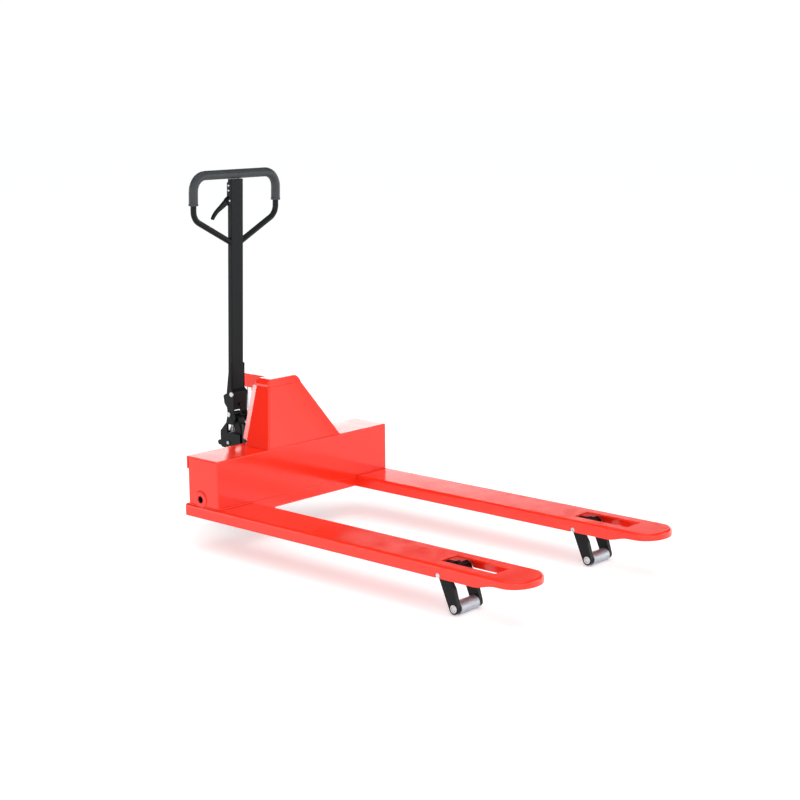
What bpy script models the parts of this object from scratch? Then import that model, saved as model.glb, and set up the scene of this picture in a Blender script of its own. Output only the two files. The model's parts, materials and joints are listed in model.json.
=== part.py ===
"""Extra-wide, low-profile hand pallet jack, modelled raised, as it stands with its forks pumped up.

Metres, +Z up. X runs across the forks, the forks point to -Y and the handle stands at +Y.
Every piece is placed under one empty on the floor below the front panel, and that empty is
moved along Y so that the world origin is the bottom centre of the whole jack.
"""

import math

import bmesh
import bpy
from mathutils import Vector

# Overall layout, in the frame of the front panel (Y = 0 is its front face, Z = 0 the floor).
FORK_REACH = 1.210  # panel to fork tip
REAR_REACH = 0.424  # panel to the rear lug of the pump
PANEL_Y = FORK_REACH - (FORK_REACH + REAR_REACH) / 2
OVERALL_WIDTH = 0.788
SHEET = 0.005
GAP = 0.0003
Y_WAY = Vector((0, 1, 0))

# Forks
FORK_WIDTH = 0.152
FORK_X = (OVERALL_WIDTH - FORK_WIDTH) / 2
FORK_TOP = 0.1455
FLANGE_BOTTOM = 0.107
FORK_REAR = 0.154
NOSE_START = -1.150
NOSE_DEPTH = FORK_REACH + NOSE_START
FORK_BEND = 0.008
FLANGE_RISE_START, FLANGE_RISE_END = -1.045, -1.120
FLANGE_RISE = 0.0145
SLOT_HALF_WIDTH = 0.035
SLOT_REAR, SLOT_FRONT = -0.893, -1.092
BRACE_Y, BRACE_LENGTH = -0.560, 0.070

# Bridge box and tower
BOX_HALF_WIDTH = 0.390
BOX_BED = 0.0015  # how far the machined bed on each fork starts ahead of the box
BOX_TOP = 0.303
BOX_REAR = 0.147
BOX_LIP = 0.041
BOX_BEND = 0.003
RIB_X = 0.238
TOWER_TOP = 0.486
TOWER_LEAN = 0.5025  # metres back per metre up
TOWER_BASE_HALF = 0.168
TOWER_REAR_BASE = 0.108
TOWER_REAR_LEAN = 0.217
CAP_TOP = 0.509
CAP_CORNER = 0.021
RETURN_WIDTH = 0.048
RETURN_ANGLE = math.radians(28)
RETURN_BOTTOM = 0.318

# Hydraulic unit
RAM_Y = 0.256
RAM_RADIUS = 0.015
CYLINDER_RADIUS = 0.036
CYLINDER_TOP = 0.335
GLAND_TOP = 0.345
NECK_RADIUS = 0.030
PUMP_LEG_HALF = 0.0275
YOKE_Z = 0.198
YOKE_HALF_THICK = 0.008
YOKE_HALF_SPAN = 0.128
TRUNNION_RADIUS = 0.007
AXLE_Y = 0.282
STEER_RADIUS = 0.080
STEER_X = 0.050
STEER_WIDTH = 0.040
STEER_AXLE_RADIUS = 0.012
AXLE_HALF = 0.0765
HOUSING_BOTTOM, HOUSING_TOP = 0.236, 0.290
HOUSING_HALF_WIDTH = 0.0263
HOUSING_REAR = 0.391
FIN_FRONT, FIN_TOP, FIN_REAR_TOP = 0.3565, 0.3285, 0.298
PLUNGER_Y = 0.357
PLUNGER_TOP = 0.3460
PLUNGER_CAP = 0.008
SPRING_SEAT = 0.248
VALVE_Y, VALVE_Z = 0.376, 0.258

# Rocker shaft, push rods and roller frames
ROCKER_Y, ROCKER_Z = 0.0826, 0.1682
ROCKER_RADIUS = 0.014
LIFT_ARM_X = 0.136
LIFT_ARM_REACH = 0.216
ARM_SLOT_NEAR, ARM_SLOT_FAR = 0.1745, 0.2125
ARM_SLOT_RAISE = 0.0019
PUSH_ARM_LENGTH = 0.0487
PUSH_ARM_SWING = math.radians(12.44)
ROD_PIN_RADIUS = 0.007
ROD_HALF_HEIGHT = 0.006
LINK_PIN_Y, LINK_PIN_Z = -0.9155, 0.1145
LINK_PIN_RADIUS = 0.008
ROLLER_Y = -0.9575
ROLLER_RADIUS = 0.020
ROLLER_HALF_LENGTH = 0.0395
LINK_INNER, LINK_OUTER = 0.0415, 0.055
CROSS_BAR_RADIUS = 0.005
CROSS_BAR_REACH = 0.020
CROSS_BAR_ANGLE = math.radians(31.75)

# Handle, in its own frame: origin on the tilt pivot, z up the mast
PIVOT_Y, PIVOT_Z = 0.326, 0.338
PIVOT_RADIUS = 0.008
HANDLE_LEAN = math.radians(2.06)
MAST_HALF_WIDTH, MAST_HALF_DEPTH = 0.0265, 0.010
MAST_Y = 0.0134
MAST_BOTTOM, MAST_TOP = 0.085, 0.8205
MAST_WALL = 0.0025
LOOP_HALF_WIDTH = 0.185
LOOP_TOP = 0.8375
LOOP_RADIUS = 0.010
LOOP_MAST_Z = 0.612
LOOP_BEND_Z = 0.695
GRIP_RADIUS = 0.0155
GRIP_END_Z = 0.741
BRACKET_HALF_WIDTH = 0.032
BRACKET_PLATE = 0.005
PRESS_ROLLER = (0.013, 0.0191)
PRESS_ROLLER_RADIUS = 0.0085
LEVER_X, LEVER_Z = -0.036, 0.750
LEVER_HALF_THICK = 0.006
MAST_BOLT = (-0.002, 0.091)
WEB_BOLT_Z = 0.0545
WEB_FRONT = -0.0092
WEB_THICK = 0.003


# ---------------------------------------------------------------- tools


def clear_scene():
    for thing in list(bpy.data.objects):
        bpy.data.objects.remove(thing, do_unlink=True)


def make_material(name, colour, roughness, metallic=0.0):
    material = bpy.data.materials.new(name)
    material.use_nodes = True
    shader = material.node_tree.nodes["Principled BSDF"]
    shader.inputs["Base Color"].default_value = (*colour, 1.0)
    shader.inputs["Roughness"].default_value = roughness
    shader.inputs["Metallic"].default_value = metallic
    return material


def empty(name, location, parent=None, lean=0.0):
    thing = bpy.data.objects.new(name, None)
    bpy.context.collection.objects.link(thing)
    thing.location = location
    thing.rotation_euler = (lean, 0.0, 0.0)
    thing.parent = parent
    return thing


def make_object(name, points, faces, material, origin=(0, 0, 0), parent=None):
    """A closed mesh from points in its parent's frame, with its origin moved to `origin`."""
    shift = Vector(origin)
    mesh = bpy.data.meshes.new(name)
    mesh.from_pydata([Vector(p) - shift for p in points], [], faces)
    mesh.validate()
    face_outwards(mesh)
    mesh.materials.append(material)
    mesh.shade_smooth()
    mesh.set_sharp_from_angle(angle=math.radians(32))
    thing = bpy.data.objects.new(name, mesh)
    bpy.context.collection.objects.link(thing)
    thing.location = shift
    thing.parent = parent or JACK
    return thing


def face_outwards(mesh):
    """Turn every face outwards."""
    work = bmesh.new()
    work.from_mesh(mesh)
    bmesh.ops.recalc_face_normals(work, faces=work.faces)
    work.to_mesh(mesh)
    work.free()


def loft(name, rings, material, **place):
    """Skin through rings of equal length, closed by flat caps."""
    count = len(rings[0])
    points = [p for ring in rings for p in ring]
    faces = []
    for level in range(len(rings) - 1):
        low, high = level * count, (level + 1) * count
        for i in range(count):
            j = (i + 1) % count
            faces.append((low + i, low + j, high + j, high + i))
    faces.append(tuple(range(count)))
    faces.append(tuple(range(len(points) - count, len(points))))
    return make_object(name, points, faces, material, **place)


def on_axis(axis, a, b, h):
    """A point from its two in-plane values and its height along X, Y or Z."""
    return {"X": (h, a, b), "Y": (a, h, b), "Z": (a, b, h)}[axis]


def prism(name, outline, axis, low, high, material, **place):
    rings = [[on_axis(axis, a, b, h) for a, b in outline] for h in (low, high)]
    return loft(name, rings, material, **place)


def turned(name, profile, axis, centre, material, segments=32, **place):
    """Revolve a closed (radius, height) profile; radii of zero meet on the axis."""
    points, index = [], []
    for r, h in profile:
        steps = 1 if r == 0 else segments
        index.append([len(points) + k for k in range(steps)])
        for k in range(steps):
            turn = 2 * math.pi * k / segments
            a, b = centre[0] + r * math.cos(turn), centre[1] + r * math.sin(turn)
            points.append(on_axis(axis, a, b, h))
    faces = []
    for now, after in zip(index, index[1:] + index[:1]):
        if len(now) == 1 and len(after) == 1:
            continue
        for k in range(segments):
            n = (k + 1) % segments
            corners = [now[k % len(now)], now[n % len(now)], after[n % len(after)], after[k % len(after)]]
            faces.append(tuple(dict.fromkeys(corners)))
    return make_object(name, points, faces, material, **place)


def rod(name, axis, centre, radius, low, high, material, chamfer=0.001, segments=24, **place):
    profile = [(0, low), (radius - chamfer, low), (radius, low + chamfer)]
    profile += [(radius, high - chamfer), (radius - chamfer, high), (0, high)]
    return turned(name, profile, axis, centre, material, segments, **place)


def ring(name, axis, centre, inner, outer, low, high, material, chamfer=0.001, segments=32, **place):
    profile = [(inner, low), (outer - chamfer, low), (outer, low + chamfer)]
    profile += [(outer, high - chamfer), (outer - chamfer, high), (inner, high)]
    return turned(name, profile, axis, centre, material, segments, **place)


def arc(centre, radius, start, end, steps):
    """Points on a circle from one angle to another, in degrees."""
    turns = [math.radians(start + (end - start) * k / steps) for k in range(steps + 1)]
    return [(centre[0] + radius * math.cos(t), centre[1] + radius * math.sin(t)) for t in turns]


def filleted(corners, radii, steps=5, closed=False):
    """A polyline whose corners are rounded by arcs of the given radii (0 keeps the corner)."""
    result, count = [], len(corners)
    for i, (corner, radius) in enumerate(zip(corners, radii)):
        ends = not closed and i in (0, count - 1)
        if radius == 0 or ends:
            result.append(tuple(corner))
            continue
        here = Vector(corner)
        before = (Vector(corners[i - 1]) - here).normalized()
        after = (Vector(corners[(i + 1) % count]) - here).normalized()
        half = before.angle(after) / 2
        centre = here + (before + after).normalized() * (radius / math.sin(half))
        first = here + before * (radius / math.tan(half)) - centre
        sweep = math.pi - 2 * half
        side = 1 if before.x * after.y - before.y * after.x < 0 else -1
        for k in range(steps + 1):
            turn = side * sweep * k / steps
            x = first.x * math.cos(turn) - first.y * math.sin(turn)
            y = first.x * math.sin(turn) + first.y * math.cos(turn)
            result.append((centre.x + x, centre.y + y))
    return result


def offset_path(corners, distance):
    """A polyline moved sideways, to the left of its direction for a positive distance."""
    moved = []
    for i, corner in enumerate(corners):
        here = Vector(corner)
        ways = []
        if i > 0:
            ways.append((here - Vector(corners[i - 1])).normalized())
        if i < len(corners) - 1:
            ways.append((Vector(corners[i + 1]) - here).normalized())
        normals = [Vector((-w.y, w.x)) for w in ways]
        mean = sum(normals, Vector((0, 0))).normalized()
        moved.append(tuple(here + mean * (distance / mean.dot(normals[0]))))
    return moved


def bent_sheet(corners, thickness, bend, steps=4):
    """Outline of a sheet folded along a polyline: the outer face first, the inner face back.

    The sheet lies to the left of the polyline, and every fold turns left.
    """
    outer = filleted(corners, [bend] * len(corners), steps)
    inner_bend = max(bend - thickness, 0.0006)
    inner = filleted(offset_path(corners, thickness), [inner_bend] * len(corners), steps)
    return outer + inner[::-1]


def rounded_box(half_a, low_b, high_b, radius, steps=3):
    corners = [(-half_a, low_b), (half_a, low_b), (half_a, high_b), (-half_a, high_b)]
    return filleted(corners, [radius] * 4, steps, closed=True)


def hull_of_circles(circles, steps=24):
    """Convex outline around circles given as (a, b, radius)."""
    cloud = sorted({p for a, b, r in circles for p in arc((a, b), r, 0, 360 - 360 / steps, steps - 1)})

    def half(points):
        chain = []
        for p in points:
            while len(chain) > 1 and (
                (chain[-1][0] - chain[-2][0]) * (p[1] - chain[-2][1])
                - (chain[-1][1] - chain[-2][1]) * (p[0] - chain[-2][0])
            ) <= 1e-12:
                chain.pop()
            chain.append(p)
        return chain[:-1]

    return half(cloud) + half(cloud[::-1])


def tube_rings(path, radius, sides):
    """Rings across a planar XZ path, each square to the path."""
    rings = []
    for i, point in enumerate(path):
        ahead = Vector(path[min(i + 1, len(path) - 1)]) - Vector(path[max(i - 1, 0)])
        ahead.normalize()
        across = Vector((ahead.z, 0, -ahead.x))
        level = []
        for k in range(sides):
            turn = 2 * math.pi * k / sides
            out = across * math.cos(turn) + Y_WAY * math.sin(turn)
            level.append(Vector(point) + out * radius)
        rings.append(level)
    return rings


def sleeve(name, path, inner, outer, sides, material, **place):
    """A hollow tube along a planar path, open at both ends; `outer` is one radius per point."""
    outside = [tube_rings(path, r, sides)[i] for i, r in enumerate(outer)]
    inside = tube_rings(path, inner, sides)
    rings = outside + inside[::-1]
    points = [p for level in rings for p in level]
    faces = []
    for level in range(len(rings)):
        low, high = level * sides, ((level + 1) % len(rings)) * sides
        for i in range(sides):
            j = (i + 1) % sides
            faces.append((low + i, low + j, high + j, high + i))
    return make_object(name, points, faces, material, **place)


def helper(thing):
    thing.hide_render = True
    thing.display_type = "WIRE"
    return thing


def combine(target, other, operation):
    step = target.modifiers.new(operation.lower(), "BOOLEAN")
    step.operation = operation
    step.solver = "EXACT"
    step.object = helper(other)
    return target


def cut(target, *others):
    for other in others:
        combine(target, other, "DIFFERENCE")
    return target


def join(target, *others):
    for other in others:
        combine(target, other, "UNION")
    return target


def side_name(side):
    return "left" if side < 0 else "right"


# ---------------------------------------------------------------- forks


def fork_level(x, inset, rear, z):
    """One ring of the fork's plan: straight sides, closed by half an ellipse at the nose."""
    half, depth = FORK_WIDTH / 2 - inset, NOSE_DEPTH - inset
    nose = arc((0, 0), 1.0, 0, 180, 16)
    plan = [(half, rear)] + [(half * c, NOSE_START - depth * s) for c, s in nose] + [(-half, rear)]
    return [(x + px, py, z) for px, py in plan]


def fork_shape(name, x, inset, bend, rear, bottom, top, steps, material):
    levels = [fork_level(x, inset, rear, bottom)]
    for k in range(steps + 1):
        turn = math.pi / 2 * k / steps
        inward = inset + bend * (1 - math.cos(turn))
        levels.append(fork_level(x, inward, rear, top - bend + bend * math.sin(turn)))
    return loft(name, levels, material)


def flange_rise(y):
    """Height of the flange's lower edge, which sweeps up towards the nose."""
    share = min(max((FLANGE_RISE_START - y) / (FLANGE_RISE_START - FLANGE_RISE_END), 0), 1)
    return FLANGE_BOTTOM + FLANGE_RISE * share * share * (3 - 2 * share)


def fork(side):
    x, name = side * FORK_X, "fork_" + side_name(side)
    body = fork_shape(name, x, 0, FORK_BEND, FORK_REAR, FLANGE_BOTTOM, FORK_TOP, 4, RED)
    inside = fork_shape(
        "hollow_" + name, x, SHEET, FORK_BEND - SHEET, FORK_REAR + 0.01, 0.100, FORK_TOP - SHEET, 2, RED
    )
    count = 8
    edge = [FLANGE_RISE_START + (FLANGE_RISE_END - FLANGE_RISE_START) * k / count for k in range(count + 1)]
    rise = [(y, flange_rise(y)) for y in edge]
    rise += [(-FORK_REACH - 0.01, rise[-1][1] + 0.003), (-FORK_REACH - 0.01, 0.09), (edge[0], 0.09)]
    lip = prism("rise_" + name, rise, "X", x - 0.1, x + 0.1, RED)
    middle, half_length = (SLOT_REAR + SLOT_FRONT) / 2, (SLOT_REAR - SLOT_FRONT) / 2
    window = [(x + a, middle + b) for a, b in rounded_box(SLOT_HALF_WIDTH, -half_length, half_length, 0.006)]
    slot = prism("slot_" + name, window, "Z", 0.12, 0.16, RED)
    radius = LINK_PIN_RADIUS + GAP
    notch = arc((LINK_PIN_Y, LINK_PIN_Z), radius, 0, 180, 12)
    notch += [(LINK_PIN_Y - radius, 0.09), (LINK_PIN_Y + radius, 0.09)]
    seat = prism("seat_" + name, notch, "X", x - 0.1, x + 0.1, RED)
    arm_way = [(x - 0.018, 0.045), (x + 0.018, 0.045), (x + 0.018, 0.125), (x - 0.018, 0.125)]
    way = prism("way_" + name, arm_way, "Z", 0.13, 0.16, RED)
    cut(body, inside, lip, slot, seat, way)
    bed = [(x - 0.1, -BOX_BED), (x + 0.1, -BOX_BED), (x + 0.1, 0.2), (x - 0.1, 0.2)]
    cut(body, prism("bed_" + name, bed, "Z", FORK_TOP - GAP, 0.16, RED))


def fork_brace(side):
    """A strap across the bottom of the channel, under the push rod."""
    x = side * FORK_X
    outline = rounded_box(FORK_WIDTH / 2 - SHEET - GAP, FLANGE_BOTTOM, FLANGE_BOTTOM + 0.004, 0.001, 1)
    outline = [(x + a, b) for a, b in outline]
    low, high = BRACE_Y - BRACE_LENGTH / 2, BRACE_Y + BRACE_LENGTH / 2
    prism("fork_brace_" + side_name(side), outline, "Y", low, high, RED)


def roller_pivot_pin(side):
    """Pin with a slimmer waist, which the push rod's eye passes over."""
    x, half = side * FORK_X, FORK_WIDTH / 2 - 0.0005
    radius, chamfer, waist = LINK_PIN_RADIUS, 0.0015, 0.010
    profile = [(0, -half), (radius - chamfer, -half), (radius, chamfer - half)]
    profile += [(radius, -waist - 0.001), (radius - 0.001, -waist)]
    profile += [(r, -h) for r, h in profile[::-1]]
    profile = [(r, x + h) for r, h in profile]
    turned("roller_pivot_pin_" + side_name(side), profile, "X", (LINK_PIN_Y, LINK_PIN_Z), STEEL, 24)


# ---------------------------------------------------------------- bridge box


def bridge_shell():
    """Front panel, top and rear lip, folded from one sheet."""
    corners = [
        (BOX_REAR, BOX_TOP - BOX_LIP),
        (BOX_REAR, BOX_TOP),
        (0, BOX_TOP),
        (0, FORK_TOP + GAP),
    ]
    outline = bent_sheet(corners, SHEET, BOX_BEND)
    prism("bridge_shell", outline, "X", -BOX_HALF_WIDTH, BOX_HALF_WIDTH, RED)


def upright_plate(name, low, high, hole):
    """A plate across the inside of the box, pierced for the rocker shaft."""
    front, rear = SHEET + GAP, BOX_REAR - SHEET - 0.003
    bottom, top = FORK_TOP + GAP, BOX_TOP - SHEET - GAP
    corners = [(front, bottom), (rear, bottom), (rear, top), (front, top)]
    plate = prism(name, filleted(corners, [0, 0.006, 0, 0], 3, closed=True), "X", low, high, RED)
    bore = rod("bore_" + name, "X", (ROCKER_Y, ROCKER_Z), hole, low - 0.01, high + 0.01, RED)
    return cut(plate, bore)


def box_sides(side):
    name = side_name(side)
    outer = sorted((side * BOX_HALF_WIDTH, side * (BOX_HALF_WIDTH - SHEET)))
    upright_plate("side_plate_" + name, *outer, ROCKER_RADIUS + 0.0005)
    rib = sorted((side * RIB_X, side * (RIB_X - SHEET)))
    upright_plate("bridge_rib_" + name, *rib, ROCKER_RADIUS + 0.0025)
    boss = sorted((side * (BOX_HALF_WIDTH + GAP), side * (BOX_HALF_WIDTH + 0.0035)))
    collar = ring("shaft_boss_" + name, "X", (ROCKER_Y, ROCKER_Z), 0.012, 0.026, *boss, RED, 0.0008)
    below = [(0.03, 0.12), (0.14, 0.12), (0.14, FORK_TOP + GAP), (0.03, FORK_TOP + GAP)]
    cut(collar, prism("below_boss_" + name, below, "X", side * 0.3, side * 0.5, RED))


def front_cross_member():
    corners = [(0, FORK_TOP - GAP), (0, FLANGE_BOTTOM), (0.035, FLANGE_BOTTOM)]
    outline = bent_sheet(corners, SHEET, 0.007)
    half = FORK_X - FORK_WIDTH / 2 - GAP
    prism("front_cross_member", outline, "X", -half, half, RED)


# ---------------------------------------------------------------- tower


def tower_half(z):
    return TOWER_BASE_HALF - TOWER_LEAN * (z - BOX_TOP)


def tower_front(z):
    return TOWER_LEAN * (z - BOX_TOP)


def tower_rear(z):
    return TOWER_REAR_BASE + TOWER_REAR_LEAN * (z - BOX_TOP)


def tower_shell():
    """Slanted front plate and the two cheeks folded back from it."""
    rings = []
    for z in (BOX_TOP + GAP, TOWER_TOP):
        half, front, rear = tower_half(z), tower_front(z), tower_rear(z)
        corners = [(-half, rear), (-half, front), (half, front), (half, rear)]
        rings.append([(x, y, z) for x, y in bent_sheet(corners, SHEET, 0.006)])
    loft("tower_shell", rings, RED)


def tower_flange(side):
    """The rear edge of a cheek, folded in towards the pump."""
    thick = 0.004
    along = Vector((-side * math.sin(RETURN_ANGLE), math.cos(RETURN_ANGLE)))
    across = Vector((-side * along.y, side * along.x))
    rings = []
    for z in (RETURN_BOTTOM, TOWER_TOP):
        start = Vector((side * tower_half(z), tower_rear(z) + GAP))
        far, inner = start + along * RETURN_WIDTH, start + Vector((-side * SHEET, 0))
        tip = far + across * thick
        rings.append([(p.x, p.y, z) for p in (start, far, tip, inner)])
    loft("tower_flange_" + side_name(side), rings, RED)


def tower_cap():
    """Solid top of the tower, rounded down over the cheeks."""
    base, rings, steps = TOWER_TOP + GAP, [], 5
    rear = tower_rear(CAP_TOP) + 0.006
    for k in range(steps + 1):
        turn = math.pi / 2 * k / steps
        z = base + (CAP_TOP - base) * math.sin(turn)
        half = tower_half(base) - CAP_CORNER * (1 - math.cos(turn))
        corners = [(-half, tower_front(z)), (half, tower_front(z)), (half, rear), (-half, rear)]
        rings.append([(x, y, z) for x, y in filleted(corners, [0.004] * 4, 3, closed=True)])
    loft("tower_cap", rings, RED)


def crosshead():
    """Arm from the tower back over the ram, with a tongue running in under the cap."""
    half, bottom, top = 0.024, 0.462, CAP_TOP - 0.001
    front = tower_rear(CAP_TOP) + 0.006 + GAP
    plan = [(-half, front), (half, front)] + arc((0, RAM_Y), half, 0, 180, 12)
    arm = prism("crosshead", plan, "Z", bottom, top, RED)
    tongue_front = tower_front(TOWER_TOP) + SHEET + 0.002
    tongue_plan = [(-half, tongue_front), (half, tongue_front), (half, 0.20), (-half, 0.20)]
    tongue = prism("tongue", tongue_plan, "Z", bottom, TOWER_TOP - GAP, RED)
    join(arm, tongue)


# ---------------------------------------------------------------- hydraulic unit


def ram_rod():
    rod("ram_rod", "Z", (0, RAM_Y), RAM_RADIUS, 0.325, 0.462 - GAP, CHROME, 0.0015, 32)


def lift_yoke():
    """Crossbeam that carries the pump's neck and ends in a trunnion at each side."""
    low, high = YOKE_Z - YOKE_HALF_THICK, YOKE_Z + YOKE_HALF_THICK
    centre = (0, RAM_Y)
    collar = ring("lift_yoke", "Z", centre, NECK_RADIUS + 0.0004, 0.052, low, high, BLACK, 0.002, 40)
    for side in (-1, 1):
        near, far = sorted((side * 0.040, side * YOKE_HALF_SPAN))
        outline = [(RAM_Y + a, b) for a, b in rounded_box(0.016, low, high, 0.003)]
        beam = prism("beam", outline, "X", near, far, BLACK)
        near, far = sorted((side * (YOKE_HALF_SPAN - 0.006), side * (YOKE_HALF_SPAN + 0.018)))
        pin = rod("trunnion", "X", (RAM_Y, YOKE_Z), TRUNNION_RADIUS, near, far, BLACK, segments=20)
        join(collar, beam, pin)
    return collar


def pump_body():
    """Leg that stands on the steer axle, with the neck and the flange above it."""
    shoulders = [(RAM_Y - 0.020, 0.178, 0.008), (RAM_Y + 0.020, 0.178, 0.008)]
    leg = hull_of_circles([(AXLE_Y, STEER_RADIUS, 0.028)] + shoulders)
    body = prism("pump_body", leg, "X", -PUMP_LEG_HALF, PUMP_LEG_HALF, BLACK)
    low, step, flange, high = 0.180, 0.2085, 0.045, 0.2248
    profile = [(0, low), (NECK_RADIUS, low), (NECK_RADIUS, step)]
    profile += [(flange - 0.002, step), (flange, step + 0.002)]
    profile += [(flange, high - 0.002), (flange - 0.002, high), (0, high)]
    neck = turned("neck", profile, "Z", (0, RAM_Y), BLACK, 40, origin=(0, RAM_Y, 0))
    hole = rod("axle_hole", "X", (AXLE_Y, STEER_RADIUS), STEER_AXLE_RADIUS + GAP, -0.05, 0.05, BLACK)
    join(body, neck)
    cut(body, hole)


def hydraulic_cylinder():
    low, floor, bore, top = 0.2252, 0.232, RAM_RADIUS + 0.0006, CYLINDER_TOP - GAP
    profile = [(0, low), (CYLINDER_RADIUS, low), (CYLINDER_RADIUS, CYLINDER_TOP - 0.003)]
    profile += [(CYLINDER_RADIUS - 0.003, top), (bore, top), (bore, floor), (0, floor)]
    turned("hydraulic_cylinder", profile, "Z", (0, RAM_Y), BLACK, 32)
    ring("gland_nut", "Z", (0, RAM_Y), RAM_RADIUS + 0.0005, 0.027, CYLINDER_TOP, GLAND_TOP, STEEL, 0.002)


def pump_housing():
    """Casting behind the cylinder: plunger bore between two fins, tilt pivot lug and a rear lug."""
    front, rear = RAM_Y + CYLINDER_RADIUS + GAP, HOUSING_REAR
    half = HOUSING_HALF_WIDTH
    corners = [(front, HOUSING_BOTTOM + 0.008), (0.345, HOUSING_BOTTOM), (rear, HOUSING_BOTTOM)]
    corners += [(rear, HOUSING_TOP), (front, HOUSING_TOP)]
    shape = filleted(corners, [0.003, 0.010, 0.010, 0, 0], 4, closed=True)
    block = prism("pump_housing", shape, "X", -half, half, BLACK)
    fin = [(FIN_FRONT, 0.280), (rear - 0.0002, 0.280), (rear - 0.0002, FIN_REAR_TOP - 0.004)]
    fin += [(rear - 0.004, FIN_REAR_TOP), (FIN_FRONT + 0.002, FIN_TOP), (FIN_FRONT, FIN_TOP - 0.002)]
    for low in (0.0002 - half, half - 0.0078):
        join(block, prism("fin", fin, "X", low, low + 0.0076, BLACK))
    ear = hull_of_circles(
        [(PIVOT_Y, PIVOT_Z, 0.014), (PIVOT_Y - 0.014, 0.286, 0.014), (PIVOT_Y - 0.008, 0.284, 0.010)]
    )
    lug = prism("pivot_lug", ear, "X", -0.014, 0.014, BLACK)
    tail = hull_of_circles([(rear - 0.014, 0.248, 0.0105), (REAR_REACH - 0.009, 0.246, 0.009)])
    rear_lug = prism("rear_lug", tail, "X", -0.010, 0.010, BLACK)
    join(block, lug, rear_lug)
    bore = rod("plunger_bore", "Z", (0, PLUNGER_Y), 0.0155, 0.246, 0.32, BLACK)
    pivot = rod("pivot_hole", "X", (PIVOT_Y, PIVOT_Z), PIVOT_RADIUS + GAP, -0.03, 0.03, BLACK)
    valve = rod("valve_hole", "X", (VALVE_Y, VALVE_Z), 0.0043, 0.017, 0.04, BLACK, segments=16)
    cut(block, bore, pivot, valve)


def pump_plunger():
    cap, stem, low, step = 0.011, 0.007, 0.290, PLUNGER_TOP - PLUNGER_CAP
    profile = [(0, low), (stem, low), (stem, step), (cap, step), (cap, PLUNGER_TOP - 0.001)]
    profile += [(cap - 0.001, PLUNGER_TOP), (0, PLUNGER_TOP)]
    turned("pump_plunger", profile, "Z", (0, PLUNGER_Y), STEEL, 24, origin=(0, PLUNGER_Y, step))


def plunger_spring():
    """A wire helix around the plunger's stem, flush at both ends with the seats."""
    coil, wire, turns, steps, sides = 0.0103, 0.0015, 7, 12, 6
    low, high = SPRING_SEAT, PLUNGER_TOP - PLUNGER_CAP - 0.0021
    rings = []
    for i in range(turns * steps + 1):
        turn = 2 * math.pi * i / steps
        out = Vector((math.cos(turn), math.sin(turn), 0))
        centre = Vector((0, PLUNGER_Y, low + (high - low) * i / (turns * steps))) + out * coil
        level = []
        for k in range(sides):
            around = 2 * math.pi * k / sides
            level.append(centre + out * (wire * math.cos(around)) + Vector((0, 0, wire * math.sin(around))))
        rings.append(level)
    loft("plunger_spring", rings, STEEL, origin=(0, PLUNGER_Y, low))


def valve_lever():
    """Small crank on the side of the pump that opens the lowering valve."""
    low, high = HOUSING_HALF_WIDTH + 0.0005, HOUSING_HALF_WIDTH + 0.0045
    shape = hull_of_circles([(VALVE_Y, VALVE_Z, 0.007), (VALVE_Y - 0.036, VALVE_Z + 0.006, 0.005)], 16)
    origin = (0, VALVE_Y, VALVE_Z)
    crank = prism("valve_lever", shape, "X", low, high, STEEL, origin=origin)
    stem = rod("valve_stem", "X", (VALVE_Y, VALVE_Z), 0.004, 0.018, high - 0.001, STEEL, segments=16)
    join(crank, stem)


def steer_axle():
    rod("steer_axle", "X", (AXLE_Y, STEER_RADIUS), STEER_AXLE_RADIUS, -AXLE_HALF, AXLE_HALF, STEEL, 0.002)
    for side in (-1, 1):
        low, high = sorted((side * (AXLE_HALF - 0.006), side * (AXLE_HALF - 0.002)))
        inner = STEER_AXLE_RADIUS + GAP
        ring("axle_retainer_" + side_name(side), "X", (AXLE_Y, STEER_RADIUS), inner, 0.020, low, high, STEEL)


def steer_wheel(side):
    centre, origin = (AXLE_Y, STEER_RADIUS), (0, AXLE_Y, STEER_RADIUS)
    middle, half, bead = side * STEER_X, STEER_WIDTH / 2, 0.0595
    hub_half = half - 0.0005
    rim = [(STEER_AXLE_RADIUS + GAP, -hub_half), (0.026, -hub_half), (0.028, 0.004 - hub_half)]
    rim += [(0.048, 0.008 - hub_half), (0.053, 0.001 - hub_half), (bead, 0.001 - hub_half)]
    profile = [(r, middle + h) for r, h in rim] + [(r, middle - h) for r, h in rim[::-1]]
    turned("steer_hub_" + side_name(side), profile, "X", centre, HUB, 40, origin=origin)
    tread = [(bead + GAP, -half), (STEER_RADIUS - 0.007, -half), (STEER_RADIUS - 0.002, 0.002 - half)]
    tread += [(STEER_RADIUS, 0.007 - half)]
    profile = [(r, middle + h) for r, h in tread] + [(r, middle - h) for r, h in tread[::-1]]
    turned("steer_tyre_" + side_name(side), profile, "X", centre, TYRE, 40, origin=origin)


# ---------------------------------------------------------------- rocker, push rods, roller frames


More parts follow.
